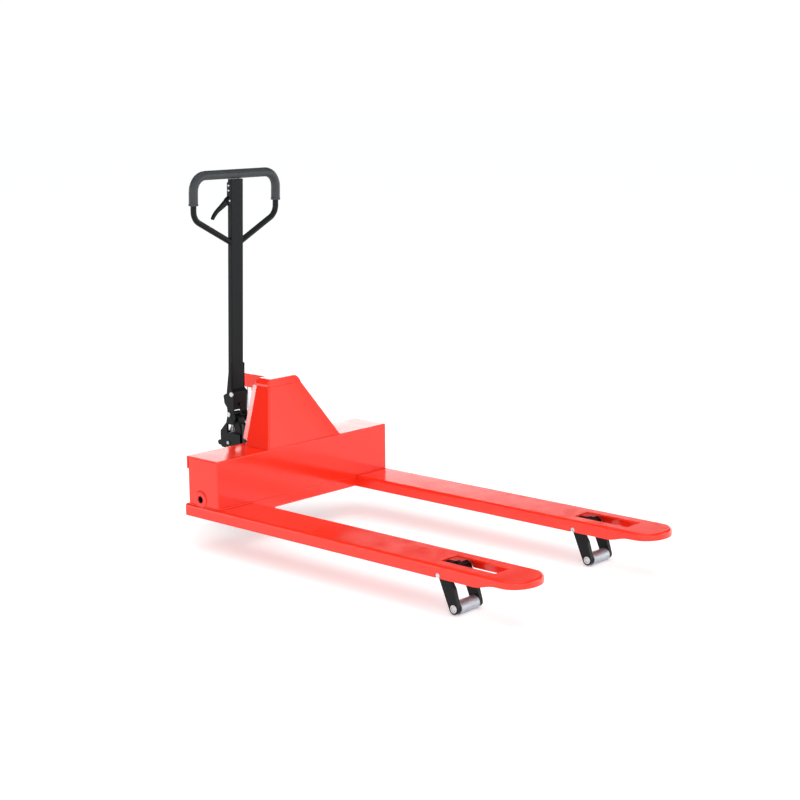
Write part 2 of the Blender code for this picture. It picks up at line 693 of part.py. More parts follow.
def rocker_shaft():
    """Shaft through the bridge with two lift arms to the yoke and a push arm in each fork."""
    centre, origin = (ROCKER_Y, ROCKER_Z), (0, ROCKER_Y, ROCKER_Z)
    tip = BOX_HALF_WIDTH - 0.0015
    shaft = rod("rocker_shaft", "X", centre, ROCKER_RADIUS, -tip, tip, BLACK, 0.001, 24, origin=origin)
    slope = math.atan2(YOKE_Z - ROCKER_Z, RAM_Y - ROCKER_Y)

    def along(distance, above=0.0):
        y = ROCKER_Y + distance * math.cos(slope) - above * math.sin(slope)
        return y, ROCKER_Z + distance * math.sin(slope) + above * math.cos(slope)

    slots = []
    for side in (-1, 1):
        low, high = sorted((side * (LIFT_ARM_X - 0.005), side * (LIFT_ARM_X + 0.005)))
        reach = along(LIFT_ARM_REACH, ARM_SLOT_RAISE)
        shape = hull_of_circles([(*centre, 0.024), (*reach, 0.016)])
        join(shaft, prism("lift_arm", shape, "X", low, high, BLACK))
        ends = [along(reach_to, ARM_SLOT_RAISE) for reach_to in (ARM_SLOT_NEAR, ARM_SLOT_FAR)]
        track = hull_of_circles([(*end, 0.0094) for end in ends])
        slots.append(prism("arm_slot", track, "X", low - 0.01, high + 0.01, BLACK))
    pin_y = ROCKER_Y - PUSH_ARM_LENGTH * math.sin(PUSH_ARM_SWING)
    pin_z = ROCKER_Z - PUSH_ARM_LENGTH * math.cos(PUSH_ARM_SWING)
    for side in (-1, 1):
        x = side * FORK_X
        shape = hull_of_circles([(*centre, 0.021), (pin_y, pin_z, 0.012)])
        join(shaft, prism("push_arm", shape, "X", x - 0.006, x + 0.006, BLACK))
        pin = rod("rod_pin", "X", (pin_y, pin_z), ROD_PIN_RADIUS, x - 0.0150, x + 0.0150, BLACK, segments=20)
        join(shaft, pin)
        low, high = sorted((side * (tip - 0.030), side * (tip + 0.010)))
        slots.append(rod("end_bore", "X", centre, 0.0095, low, high, BLACK, segments=20))
    cut(shaft, *slots)


def push_rod(side):
    """Flat bar from the push arm to the roller frame: a clevis behind, an eye in front."""
    x, name = side * FORK_X, "push_rod_" + side_name(side)
    rear_y = ROCKER_Y - PUSH_ARM_LENGTH * math.sin(PUSH_ARM_SWING)
    rear_z = ROCKER_Z - PUSH_ARM_LENGTH * (1 + math.cos(PUSH_ARM_SWING)) / 2
    front_y = LINK_PIN_Y - CROSS_BAR_REACH * math.sin(CROSS_BAR_ANGLE)
    front_z = LINK_PIN_Z + CROSS_BAR_REACH * (1 + math.cos(CROSS_BAR_ANGLE)) / 2
    slope = (front_z - rear_z) / (front_y - rear_y)

    def level(y):
        return rear_z + slope * (y - rear_y)

    start, stop, half = 0.030, -0.878, ROD_HALF_HEIGHT
    outline = [(start, level(start) - half), (start, level(start) + half)]
    outline += [(stop, level(stop) + half), (stop, level(stop) - half)]
    bar = prism(name, outline, "X", x - 0.0135, x + 0.0135, BLACK)
    tongue = hull_of_circles([(front_y, front_z, half - 0.0005), (stop + 0.010, level(stop), half - 0.0005)])
    join(bar, prism("tongue", tongue, "X", x - 0.0068, x + 0.0068, BLACK))
    join(bar, rod("eye_boss", "X", (front_y, front_z), 0.0108, x - 0.007, x + 0.007, BLACK, 0.0008))
    cheek = hull_of_circles([(rear_y, rear_z, 0.0125), (0.014, level(0.014), half - 0.0005)])
    for low in (x - 0.0135, x + 0.0075):
        join(bar, prism("cheek", cheek, "X", low, low + 0.006, BLACK))
    eye = rod("eye", "X", (front_y, front_z), 0.0073, x - 0.02, x + 0.02, BLACK)
    clevis = rod("clevis_hole", "X", (rear_y, rear_z), ROD_PIN_RADIUS + 0.0013, x - 0.02, x + 0.02, BLACK)
    cut(bar, eye, clevis)


def frame_web():
    """Outline of the web between the links; it lies flat under the fork top when lowered."""
    turn = 2 * CROSS_BAR_ANGLE
    flat = [(-0.015, 0.013), (0.012, 0.013), (0.012, 0.019), (-0.015, 0.019)]
    outline = []
    for a, b in flat:
        y, z = a * math.cos(turn) - b * math.sin(turn), a * math.sin(turn) + b * math.cos(turn)
        outline.append((LINK_PIN_Y + y, LINK_PIN_Z + z))
    return outline


def roller_frame(side):
    """Two bent links, joined by a cross bar for the push rod and a web on each side of it."""
    x, origin = side * FORK_X, (side * FORK_X, LINK_PIN_Y, LINK_PIN_Z)
    radius = 0.0165
    shape = hull_of_circles(
        [(LINK_PIN_Y, LINK_PIN_Z, radius), (-0.9435, 0.072, radius - 0.001), (ROLLER_Y, ROLLER_RADIUS, radius)]
    )
    frame = prism(
        "roller_frame_" + side_name(side), shape, "X", x - LINK_OUTER, x - LINK_INNER, BLACK, origin=origin
    )
    bar_y = LINK_PIN_Y - CROSS_BAR_REACH * math.sin(CROSS_BAR_ANGLE)
    bar_z = LINK_PIN_Z + CROSS_BAR_REACH * math.cos(CROSS_BAR_ANGLE)
    reach = LINK_INNER + 0.002
    bar = rod("cross_bar", "X", (bar_y, bar_z), CROSS_BAR_RADIUS, x - reach, x + reach, BLACK, segments=20)
    join(frame, bar, prism("link", shape, "X", x + LINK_INNER, x + LINK_OUTER, BLACK))
    for low, high in ((x - reach, x - 0.014), (x + 0.014, x + reach)):
        join(frame, prism("web", frame_web(), "X", low, high, BLACK))
    bores = [(LINK_PIN_Y, LINK_PIN_Z), (ROLLER_Y, ROLLER_RADIUS)]
    for centre in bores:
        cut(frame, rod("bore", "X", centre, LINK_PIN_RADIUS + GAP, x - 0.07, x + 0.07, BLACK))


def load_roller(side):
    x, centre = side * FORK_X, (ROLLER_Y, ROLLER_RADIUS)
    origin = (x, ROLLER_Y, ROLLER_RADIUS)
    name = side_name(side)
    axle = LINK_PIN_RADIUS
    reach = LINK_OUTER + 0.001
    rod("roller_axle_" + name, "X", centre, axle, x - reach, x + reach, STEEL, 0.0015)
    low, high = x - ROLLER_HALF_LENGTH, x + ROLLER_HALF_LENGTH
    bore = axle + GAP
    ring("load_roller_" + name, "X", centre, bore, ROLLER_RADIUS, low, high, ROLLER, 0.002, 32, origin=origin)


# ---------------------------------------------------------------- handle


def handle_mast():
    low, high = MAST_Y - MAST_HALF_DEPTH, MAST_Y + MAST_HALF_DEPTH
    outside = rounded_box(MAST_HALF_WIDTH, low, high, 0.003)
    mast = prism("handle_mast", outside, "Z", MAST_BOTTOM, MAST_TOP, BLACK, parent=HANDLE)
    inside = rounded_box(MAST_HALF_WIDTH - MAST_WALL, low + MAST_WALL, high - MAST_WALL, 0.001, 1)
    hollow = prism("mast_hollow", inside, "Z", MAST_BOTTOM - 0.01, MAST_TOP + 0.01, BLACK, parent=HANDLE)
    cut(mast, hollow, lever_window("mast_window"))


def lever_window(name):
    near, far = MAST_Y - 0.0065, MAST_Y + 0.0065
    outline = [(-0.035, near), (-0.020, near), (-0.020, far), (-0.035, far)]
    return prism(name, outline, "Z", LEVER_Z - 0.016, LEVER_Z + 0.012, BLACK, parent=HANDLE)


def loop_corners():
    foot = MAST_HALF_WIDTH + GAP
    left = [(-foot, LOOP_MAST_Z), (-LOOP_HALF_WIDTH, LOOP_BEND_Z), (-LOOP_HALF_WIDTH, LOOP_TOP)]
    return left + [(-x, z) for x, z in left[::-1]]


def in_plane(path):
    return [(x, MAST_Y, z) for x, z in path]


def handle_loop():
    """Bent tube from one side of the mast round to the other, cut square to the mast's sides."""
    path = in_plane(filleted(loop_corners(), [0, 0.045, 0.050, 0.050, 0.045, 0], 7))
    rings = tube_rings(path, LOOP_RADIUS, 14)
    foot = MAST_HALF_WIDTH + GAP
    for index, side, away in ((0, -1, 1), (-1, 1, -2)):
        way = (Vector(path[away]) - Vector(path[index])).normalized()
        rings[index] = [p + way * ((side * foot - p.x) / way.x) for p in rings[index]]
    loft("handle_loop", rings, BLACK, parent=HANDLE)


def grip(side):
    """Moulded sleeve over the upper half of the loop, with a thicker rim at its open end."""
    outer_x = side * LOOP_HALF_WIDTH
    corners = [(outer_x, GRIP_END_Z), (outer_x, LOOP_TOP), (side * 0.0006, LOOP_TOP)]
    path = filleted(corners, [0, 0.050, 0], 7)
    path[1:1] = [(path[0][0], GRIP_END_Z + h) for h in (0.006, 0.009)]
    outer = [GRIP_RADIUS + 0.001] * 2 + [GRIP_RADIUS] * (len(path) - 2)
    name = "grip_" + side_name(side)
    sleeve(name, in_plane(path), LOOP_RADIUS + GAP, outer, 14, RUBBER, parent=HANDLE)


def handle_bracket():
    """Forked bracket: two side plates on the tilt pivot, joined across the front by a folded web."""
    corners = [
        (0.0040, 0.194), (0.0035, 0.108), (WEB_FRONT, 0.098), (WEB_FRONT, 0.032), (-0.0150, 0.004),
        (-0.0120, -0.012), (0.000, -0.0155), (0.022, -0.0170), (0.0275, -0.0120), (0.0240, 0.0060),
        (0.0245, 0.0230), (0.0215, 0.0300), (0.0240, 0.0416), (0.0367, 0.0549), (0.0416, 0.0805),
        (0.0330, 0.0870), (0.0253, 0.0900), (0.0120, 0.194),
    ]
    outline = filleted(corners, [0.0022] * len(corners), 2, closed=True)
    half, inner = BRACKET_HALF_WIDTH, BRACKET_HALF_WIDTH - BRACKET_PLATE
    plate = prism("handle_bracket", outline, "X", -half, -inner, BLACK, parent=HANDLE)
    join(plate, prism("far_plate", outline, "X", inner, half, BLACK, parent=HANDLE))
    front = WEB_FRONT + 0.0002
    fold = bent_sheet([(-0.0008, 0.1055), (front, 0.0975), (front, 0.037)], WEB_THICK, 0.004)
    reach = half - 0.0015
    join(plate, prism("web", fold, "X", -reach, reach, BLACK, parent=HANDLE))
    holes = [((0, 0), PIVOT_RADIUS), (PRESS_ROLLER, 0.006), (MAST_BOLT, 0.0038)]
    for centre, radius in holes:
        cut(plate, rod("hole", "X", centre, radius + GAP, -0.05, 0.05, BLACK, parent=HANDLE))
    place = {"segments": 16, "parent": HANDLE}
    cut(plate, rod("bolt_hole", "Y", (0, WEB_BOLT_Z), 0.0033, -0.03, -0.004, BLACK, **place))


def headed_pin(name, centre, shank, head, thick, material, sides=20):
    """Pin across the bracket with a round head against the outside of each side plate."""
    inner = BRACKET_HALF_WIDTH + GAP
    outer = inner + thick
    profile = [(0, -outer), (head - 0.001, -outer), (head, 0.001 - outer), (head, -inner), (shank, -inner)]
    profile += [(r, -h) for r, h in profile[::-1]]
    turned(name, profile, "X", centre, material, sides, parent=HANDLE)


def handle_pins():
    reach = BRACKET_HALF_WIDTH + 0.0010
    rod("handle_pivot_pin", "X", (0, 0), PIVOT_RADIUS, -reach, reach, BLACK, 0.0008, parent=HANDLE)
    headed_pin("press_roller_pin", PRESS_ROLLER, 0.006, 0.0096, 0.004, STEEL, 24)
    headed_pin("mast_bolt", MAST_BOLT, 0.0038, 0.0088, 0.004, STEEL, 24)
    head, seat = WEB_FRONT - 0.0058, WEB_FRONT - 0.0004
    profile = [(0, head), (0.0048, head), (0.0055, head + 0.001), (0.0055, seat), (0.003, seat)]
    profile += [(0.003, seat + 0.0045), (0, seat + 0.0045)]
    turned("web_bolt", profile, "Y", (0, WEB_BOLT_Z), STEEL, 16, parent=HANDLE)


def press_roller():
    y, z = PRESS_ROLLER
    ring(
        "press_roller", "X", (y, z), 0.0061, PRESS_ROLLER_RADIUS, -0.013, 0.013, STEEL, 0.0006, 24,
        origin=(0, y, z), parent=HANDLE,
    )


def lever_housing():
    """Plate on the side of the mast with two ears that hold the release lever's pin."""
    low, high = -MAST_HALF_WIDTH - 0.0033, -MAST_HALF_WIDTH - GAP
    near, far = MAST_Y - 0.0095, MAST_Y + 0.0095
    outline = [(low, near), (high, near), (high, far), (low, far)]
    plate = prism("lever_housing", outline, "Z", LEVER_Z - 0.018, LEVER_Z + 0.060, BLACK, parent=HANDLE)
    foot = low + 0.002
    corners = [(foot, LEVER_Z + 0.014, 0.001), (foot, LEVER_Z - 0.014, 0.001)]
    ear = hull_of_circles([(LEVER_X, LEVER_Z, 0.008)] + corners, 16)
    for face in (near, MAST_Y + 0.0065):
        join(plate, prism("ear", ear, "Y", face, face + 0.003, BLACK, parent=HANDLE))
    cut(plate, lever_window("plate_window"), lever_pin_hole(near - 0.01, far + 0.01))
    low, high = MAST_Y - 0.0115, MAST_Y + 0.0115
    rod("lever_pin", "Y", (LEVER_X, LEVER_Z), 0.003, low, high, STEEL, 0.0006, 16, parent=HANDLE)


def lever_pin_hole(low, high):
    return rod("pin_hole", "Y", (LEVER_X, LEVER_Z), 0.0033, low, high, BLACK, segments=16, parent=HANDLE)


def tapered_outline(stations):
    """Outline around a centre line given as (a, b, half width)."""
    line = [(a, b) for a, b, _ in stations]
    left, right = [], []
    for i, (a, b, half) in enumerate(stations):
        before, after = line[max(i - 1, 0)], line[min(i + 1, len(line) - 1)]
        way = (Vector(after) - Vector(before)).normalized()
        left.append((a - way.y * half, b + way.x * half))
        right.append((a + way.y * half, b - way.x * half))
    return left + right[::-1]


def release_lever():
    """Curved finger lever; its inner end reaches through the mast's wall to the release rod."""
    # along X, drop below the pin, half width
    curve = [
        (-0.014, 0.0, 0.0045), (-0.026, 0.0, 0.0048), (-0.033, 0.0, 0.0075), (-0.042, 0.004, 0.0085),
        (-0.054, 0.0135, 0.0078), (-0.067, 0.0225, 0.0065), (-0.079, 0.0305, 0.0055),
        (-0.090, 0.0400, 0.0048), (-0.098, 0.0495, 0.0042), (-0.1036, 0.0590, 0.0034),
    ]
    stations = [(x, LEVER_Z - drop, half) for x, drop, half in curve]
    low, high = MAST_Y - LEVER_HALF_THICK, MAST_Y + LEVER_HALF_THICK
    origin = (LEVER_X, MAST_Y, LEVER_Z)
    outline = tapered_outline(stations)
    lever = prism("release_lever", outline, "Y", low, high, BLACK, origin=origin, parent=HANDLE)
    cut(lever, lever_pin_hole(low - 0.01, high + 0.01))


def release_rod():
    top = LEVER_Z - 0.0065
    place = {"origin": (-0.015, MAST_Y, top), "parent": HANDLE}
    rod("release_rod", "Z", (-0.015, MAST_Y), 0.003, 0.092, top, STEEL, 0.0006, 12, **place)


# ---------------------------------------------------------------- build

clear_scene()
RED = make_material("red_paint", (0.86, 0.035, 0.014), 0.25)
BLACK = make_material("black_paint", (0.018, 0.018, 0.020), 0.42)
STEEL = make_material("bright_steel", (0.62, 0.62, 0.64), 0.30, 1.0)
CHROME = make_material("chrome", (0.80, 0.80, 0.82), 0.10, 1.0)
ROLLER = make_material("roller_steel", (0.50, 0.52, 0.54), 0.38, 1.0)
RUBBER = make_material("grip_rubber", (0.030, 0.034, 0.037), 0.55)
TYRE = make_material("tyre", (0.022, 0.022, 0.024), 0.60)
HUB = make_material("wheel_hub", (0.10, 0.10, 0.11), 0.45)
JACK = empty("pallet_jack", (0, PANEL_Y, 0))
HANDLE = empty("handle_frame", (0, PIVOT_Y, PIVOT_Z), JACK, HANDLE_LEAN)


def main():
    bridge_shell()
    front_cross_member()
    tower_shell()
    tower_cap()
    crosshead()
    ram_rod()
    lift_yoke()
    pump_body()
    hydraulic_cylinder()
    pump_housing()
    pump_plunger()
    plunger_spring()
    valve_lever()
    steer_axle()
    rocker_shaft()
    handle_mast()
    handle_loop()
    handle_bracket()
    handle_pins()
    press_roller()
    lever_housing()
    release_lever()
    release_rod()
    for side in (-1, 1):
        fork(side)
        fork_brace(side)
        roller_pivot_pin(side)
        box_sides(side)
        tower_flange(side)
        steer_wheel(side)
        push_rod(side)
        roller_frame(side)
        load_roller(side)
        grip(side)


main()
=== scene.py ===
"""Visual model of the hand pallet jack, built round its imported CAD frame.

Metres, +Z up, in the CAD's own frame. Most CAD nodes keep their shapes and get procedural
materials. Sheet and cast parts are replaced by copies with rolled edges, the spring by a finer
one, and welds, washers, plugs and screws are added around them.
"""

import json
import math
import random

import bmesh
import bpy
from mathutils import Matrix, Vector


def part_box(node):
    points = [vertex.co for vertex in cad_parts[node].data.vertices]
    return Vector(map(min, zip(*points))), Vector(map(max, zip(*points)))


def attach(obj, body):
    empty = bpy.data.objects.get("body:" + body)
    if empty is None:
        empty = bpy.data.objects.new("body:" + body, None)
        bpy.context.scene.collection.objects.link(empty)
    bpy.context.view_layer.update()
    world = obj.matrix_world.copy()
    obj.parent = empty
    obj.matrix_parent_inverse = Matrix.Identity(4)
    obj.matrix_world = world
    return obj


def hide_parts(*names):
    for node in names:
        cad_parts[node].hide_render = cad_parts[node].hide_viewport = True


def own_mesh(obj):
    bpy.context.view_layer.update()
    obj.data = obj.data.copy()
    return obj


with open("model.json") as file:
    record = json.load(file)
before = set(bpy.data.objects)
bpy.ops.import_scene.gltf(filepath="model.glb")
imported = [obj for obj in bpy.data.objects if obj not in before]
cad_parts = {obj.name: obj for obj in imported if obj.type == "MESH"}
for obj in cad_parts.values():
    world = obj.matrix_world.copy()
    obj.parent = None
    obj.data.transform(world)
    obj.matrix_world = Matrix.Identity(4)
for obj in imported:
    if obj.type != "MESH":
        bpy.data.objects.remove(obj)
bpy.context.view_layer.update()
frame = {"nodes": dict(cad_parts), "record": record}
NODES = frame["nodes"]

# Camera
CAMERA_AT = (-3.7824, -3.4550, 1.4784)
LOOK_AT = (0.1656, 0.1192, 0.4536)
CAMERA_ROLL = math.radians(-0.46)
LENS_MM = 74.85

# Studio
SURROUND_LIGHT = 0.80
WALL_LIGHT, CEILING_LIGHT = 3.1, 0.10  # seen in gloss only: a bright low wall under a dim ceiling
WALL_EDGE = (12.6, 13.6)  # degrees above the horizon


# ---------------------------------------------------------------- node tools


RANGE_SOCKETS = ("From Min", "From Max", "To Min", "To Max")


class Nodes:
    """A material's node tree, with short calls for the nodes used here."""

    def __init__(self, name):
        self.material = bpy.data.materials.new(name)
        self.material.use_nodes = True
        self.tree = self.material.node_tree
        self.shader = self.tree.nodes["Principled BSDF"]

    def add(self, kind, **values):
        node = self.tree.nodes.new(kind)
        for key, value in values.items():
            setattr(node, key, value)
        return node

    def link(self, start, end):
        self.tree.links.new(start, end)

    def place(self, scale=(1, 1, 1)):
        where = self.add("ShaderNodeTexCoord")
        mapping = self.add("ShaderNodeMapping")
        mapping.inputs["Scale"].default_value = scale
        self.link(where.outputs["Object"], mapping.inputs["Vector"])
        return mapping.outputs["Vector"]

    def noise(self, scale, detail=3.0, roughness=0.55, stretch=(1, 1, 1)):
        node = self.add("ShaderNodeTexNoise")
        node.inputs["Scale"].default_value = scale
        node.inputs["Detail"].default_value = detail
        node.inputs["Roughness"].default_value = roughness
        self.link(self.place(stretch), node.inputs["Vector"])
        return node.outputs["Fac"]

    def spread(self, value, low, high, to_low, to_high):
        """Map a value's range to another."""
        node = self.add("ShaderNodeMapRange")
        for key, number in zip(RANGE_SOCKETS, (low, high, to_low, to_high)):
            node.inputs[key].default_value = number
        self.link(value, node.inputs["Value"])
        return node.outputs["Result"]

    def mix(self, factor, first, second):
        node = self.add("ShaderNodeMix", data_type="RGBA")
        self.link(factor, node.inputs["Factor"])
        colours = [socket for socket in node.inputs if socket.type == "RGBA"]
        for socket, value in zip(colours, (first, second)):
            if isinstance(value, tuple):
                socket.default_value = (*value, 1.0)
            else:
                self.link(value, socket)
        return [socket for socket in node.outputs if socket.type == "RGBA"][0]

    def bump(self, height, strength, distance):
        node = self.add("ShaderNodeBump")
        node.inputs["Strength"].default_value = strength
        node.inputs["Distance"].default_value = distance
        self.link(height, node.inputs["Height"])
        return node.outputs["Normal"]

    def finish(self, colour=None, roughness=None, normal=None):
        for value, name in ((colour, "Base Color"), (roughness, "Roughness"), (normal, "Normal")):
            if value is not None:
                self.link(value, self.shader.inputs[name])
        return self.material


def painted(name, base, deep, rough, peel=0.00003, scuff=0.12, specular=0.5):
    """Powder coat: orange peel, slow colour drift and faint rubbed patches."""
    made = Nodes(name)
    drift = made.noise(3.0, 2.0)
    colour = made.mix(made.spread(drift, 0.3, 0.7, 0.0, 1.0), base, deep)
    rub = made.noise(14.0, 6.0, 0.65)
    roughness = made.spread(rub, 0.35, 0.75, rough, rough + scuff)
    peel_height = made.noise(650.0, 2.0)
    made.shader.inputs["Specular IOR Level"].default_value = specular
    return made.finish(colour, roughness, made.bump(peel_height, 0.35, peel))


def turned_steel(name, base, deep, rough, stretch=(1, 1, 1), scale=900.0, depth=0.00002):
    """Bare or plated steel with fine lines and a cloudy surface."""
    made = Nodes(name)
    made.shader.inputs["Metallic"].default_value = 1.0
    clouds = made.noise(60.0, 4.0, 0.6)
    colour = made.mix(made.spread(clouds, 0.3, 0.7, 0.0, 1.0), base, deep)
    lines = made.noise(scale, 3.0, 0.6, stretch)
    roughness = made.spread(lines, 0.3, 0.7, rough, rough + 0.14)
    return made.finish(colour, roughness, made.bump(lines, 0.4, depth))


def moulded(name, base, deep, rough, grain=1400.0, depth=0.00005):
    """Rubber or plastic with a fine moulded grain."""
    made = Nodes(name)
    clouds = made.noise(35.0, 4.0)
    colour = made.mix(made.spread(clouds, 0.3, 0.7, 0.0, 1.0), base, deep)
    grains = made.noise(grain, 3.0, 0.7)
    roughness = made.spread(grains, 0.3, 0.7, rough, rough + 0.12)
    return made.finish(colour, roughness, made.bump(grains, 0.5, depth))


RED = painted("red_powder_coat", (0.90, 0.026, 0.008), (0.84, 0.022, 0.007), 0.10, scuff=0.08)
BLACK = painted(
    "black_powder_coat", (0.0050, 0.0062, 0.0070), (0.0036, 0.0044, 0.0052), 0.36,
    peel=0.00005, scuff=0.18, specular=0.16,
)
ZINC = turned_steel("zinc_plate", (0.62, 0.62, 0.64), (0.50, 0.51, 0.54), 0.26)
CHROME = turned_steel(
    "hard_chrome", (0.82, 0.82, 0.84), (0.78, 0.78, 0.80), 0.06,
    stretch=(1, 1, 0.05), scale=500.0, depth=0.000006,
)
ROLLER = turned_steel("roller_steel", (0.50, 0.55, 0.59), (0.36, 0.40, 0.44), 0.46, (0.04, 1, 1), 700.0)
GRIP = moulded("grip_rubber", (0.024, 0.029, 0.034), (0.017, 0.021, 0.025), 0.46)
TYRE = moulded("tyre_nylon", (0.020, 0.020, 0.022), (0.032, 0.031, 0.031), 0.52, 700.0, 0.00008)
HUB = painted("hub_paint", (0.060, 0.060, 0.064), (0.045, 0.045, 0.050), 0.38, 0.0001, 0.2)
FINISHES = {
    "red_paint": RED,
    "black_paint": BLACK,
    "bright_steel": ZINC,
    "chrome": CHROME,
    "roller_steel": ROLLER,
    "grip_rubber": GRIP,
    "tyre": TYRE,
    "wheel_hub": HUB,
}

for entry in frame["record"]["subparts"]:
    mesh = NODES[entry["node"]].data
    mesh.materials.clear()
    mesh.materials.append(FINISHES[entry["material_slot"]])

DARK_STEEL = turned_steel("blackened_steel", (0.035, 0.036, 0.038), (0.022, 0.022, 0.024), 0.38)
for node in ("web_bolt", "valve_lever", "press_roller"):
    NODES[node].data.materials[0] = DARK_STEEL


# ---------------------------------------------------------------- piece tools

JACK_Y = 0.393  # the bridge box's front face in the frame
HANDLE_PIVOT = Vector((0, 0.719, 0.338))
HANDLE_LEAN = math.radians(2.06)
UP = Vector((0, 0, 1))
SIDES = ((-1, "left"), (1, "right"))
BODY_OF = {node: body for body, nodes in frame["record"]["behaviour"]["bodies"].items() for node in nodes}
SLOT_OF = {entry["node"]: entry["material_slot"] for entry in frame["record"]["subparts"]}


def piece(name, mesh, body, slot):
    """Finish a new mesh piece: smooth shading with crisp edges, material, body and slot."""
    made = bpy.data.objects.new(name, mesh)
    bpy.context.collection.objects.link(made)
    mesh.shade_smooth()
    mesh.set_sharp_from_angle(angle=math.radians(35))
    mesh.materials.append(FINISHES[slot])
    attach(made, body)
    return made


def to_mesh(name, work):
    bmesh.ops.recalc_face_normals(work, faces=work.faces)
    mesh = bpy.data.meshes.new(name)
    work.to_mesh(mesh)
    work.free()
    return mesh


def bridge(work, first, second):
    """Quads between two rings of the same length."""
    count = len(first)
    for k in range(count):
        work.faces.new((first[k], first[(k + 1) % count], second[(k + 1) % count], second[k]))


def tube(name, rings, work, body, slot):
    """A closed tube through rings of vertices, with flat ends."""
    for first, second in zip(rings, rings[1:]):
        bridge(work, first, second)
    work.faces.new(rings[0][::-1])
    work.faces.new(rings[-1])
    return piece(name, to_mesh(name, work), body, slot)


def weld_stations(path, pitch, closed):
    points = [Vector(p) for p in path]
    if closed:
        points.append(points[0])
    stations = []
    for start, end in zip(points, points[1:]):
        count = max(2, round((end - start).length / pitch))
        stations += [start.lerp(end, k / count) for k in range(count)]
    return stations + [points[-1]]


def weld_bead(name, path, radius, pitch=0.0042, closed=False):
    """A rippled fillet weld along a path: one swollen ring every pitch, slightly uneven."""
    rng = random.Random(name)
    stations = weld_stations(path, pitch, closed)
    work = bmesh.new()
    sides, rings = 8, []
    for i, spot in enumerate(stations):
        ahead = (stations[min(i + 1, len(stations) - 1)] - stations[max(i - 1, 0)]).normalized()
        across = ahead.orthogonal().normalized()
        over = ahead.cross(across)
        last = i in (0, len(stations) - 1)
        for swell, shift in ((1.0, 0.0), (0.80, 0.5)):
            size = radius * swell * rng.uniform(0.93, 1.07) * (0.4 if last else 1.0)
            centre = spot + ahead * (shift * (0.0002 if last else pitch))
            ring = []
            for k in range(sides):
                turn = 2 * math.pi * k / sides
                outward = across * math.cos(turn) + over * math.sin(turn)
                ring.append(work.verts.new(centre + outward * size))
            rings.append(ring)
    return tube(name, rings, work, "chassis", "red_paint")


def lathe(name, rings, work, axis, centre, body, slot):
    """Close rings made about Z into one solid, then turn it onto axis at centre."""
    for first, second in zip(rings, rings[1:] + rings[:1]):
        bridge(work, first, second)
    turn = UP.rotation_difference(Vector(axis)).to_matrix().to_4x4()
    bmesh.ops.transform(work, matrix=Matrix.Translation(centre) @ turn, verts=work.verts)
    return piece(name, to_mesh(name, work), body, slot)


def spun(name, profile, axis, centre, body, slot, segments=40):
    """Turn a (radius, height) profile round an axis through centre."""
    work = bmesh.new()
    rings = []
    for r, h in profile:
        turns = [2 * math.pi * k / segments for k in range(segments)]
        rings.append([work.verts.new((r * math.cos(t), r * math.sin(t), h)) for t in turns])
    return lathe(name, rings, work, axis, centre, body, slot)


def washer(name, inner, outer, thick, axis, centre, body, slot):
    soft = thick * 0.3
    profile = [(inner, 0), (outer - soft, 0), (outer, soft)]
    profile += [(outer, thick - soft), (outer - soft, thick), (inner, thick)]
    return spun(name, profile, axis, centre, body, slot)


def hex_plug(name, bore, across, thick, axis, centre, body, slot):
    """Hexagonal screw plug with chamfered corners and a small socket right through it."""
    corner, steps = across / math.sqrt(3), 36
    rim = 0.90 * corner
    levels = ((bore, 0.0), (rim, 0.0), (corner, 0.14), (corner, 0.86), (rim, 1.0), (bore, 1.0))
    work = bmesh.new()
    rings = []
    for radius, level in levels:
        ring = []
        for k in range(steps):
            turn = 2 * math.pi * k / steps
            flat = across / 2 / math.cos((turn % (math.pi / 3)) - math.pi / 6)
            reach = min(radius, flat) if radius > bore else bore
            ring.append(work.verts.new((reach * math.cos(turn), reach * math.sin(turn), level * thick)))
        rings.append(ring)
    return lathe(name, rings, work, axis, centre, body, slot)


def rolled(node, width):
    """Stand-in for a sheet or cast part with rolled edges, made from the CAD node's own mesh."""
    work = bmesh.new()
    work.from_mesh(NODES[node].data)
    bmesh.ops.remove_doubles(work, verts=work.verts, dist=0.00002)
    bmesh.ops.dissolve_limit(
        work, angle_limit=math.radians(0.5), use_dissolve_boundaries=False, verts=work.verts, edges=work.edges
    )
    name = node + "_rolled"
    made = piece(name, to_mesh(name, work), BODY_OF[node], SLOT_OF[node])
    bevel = made.modifiers.new("edges", "BEVEL")
    bevel.width = width
    bevel.segments = 3
    bevel.limit_method = "ANGLE"
    bevel.angle_limit = math.radians(40)
    bevel.use_clamp_overlap = True
    bevel.harden_normals = True
    even = made.modifiers.new("even_faces", "WEIGHTED_NORMAL")
    even.keep_sharp = True
    even.weight = 100
    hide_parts(node)
    return made


def handle_point(x, y, z):
    """A point given in the handle's own frame, in the jack's frame."""
    cos, sin = math.cos(HANDLE_LEAN), math.sin(HANDLE_LEAN)
    return HANDLE_PIVOT + Vector((x, y * cos - z * sin, y * sin + z * cos))


def middle_of(node):
    low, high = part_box(node)
    return [(low[i] + high[i]) / 2 for i in range(3)]


# ---------------------------------------------------------------- pieces


ROLLED = {
    "bridge_shell": 0.0016, "tower_shell": 0.0014, "tower_flange_left": 0.0010, "tower_flange_right": 0.0010,
    "tower_cap": 0.0010, "crosshead": 0.0016, "side_plate_left": 0.0012, "side_plate_right": 0.0012,
    "fork_left": 0.0014, "fork_right": 0.0014, "front_cross_member": 0.0010,
    "handle_bracket": 0.0008, "pump_housing": 0.0010, "release_lever": 0.0012,
    "roller_frame_left": 0.0012, "roller_frame_right": 0.0012,
}


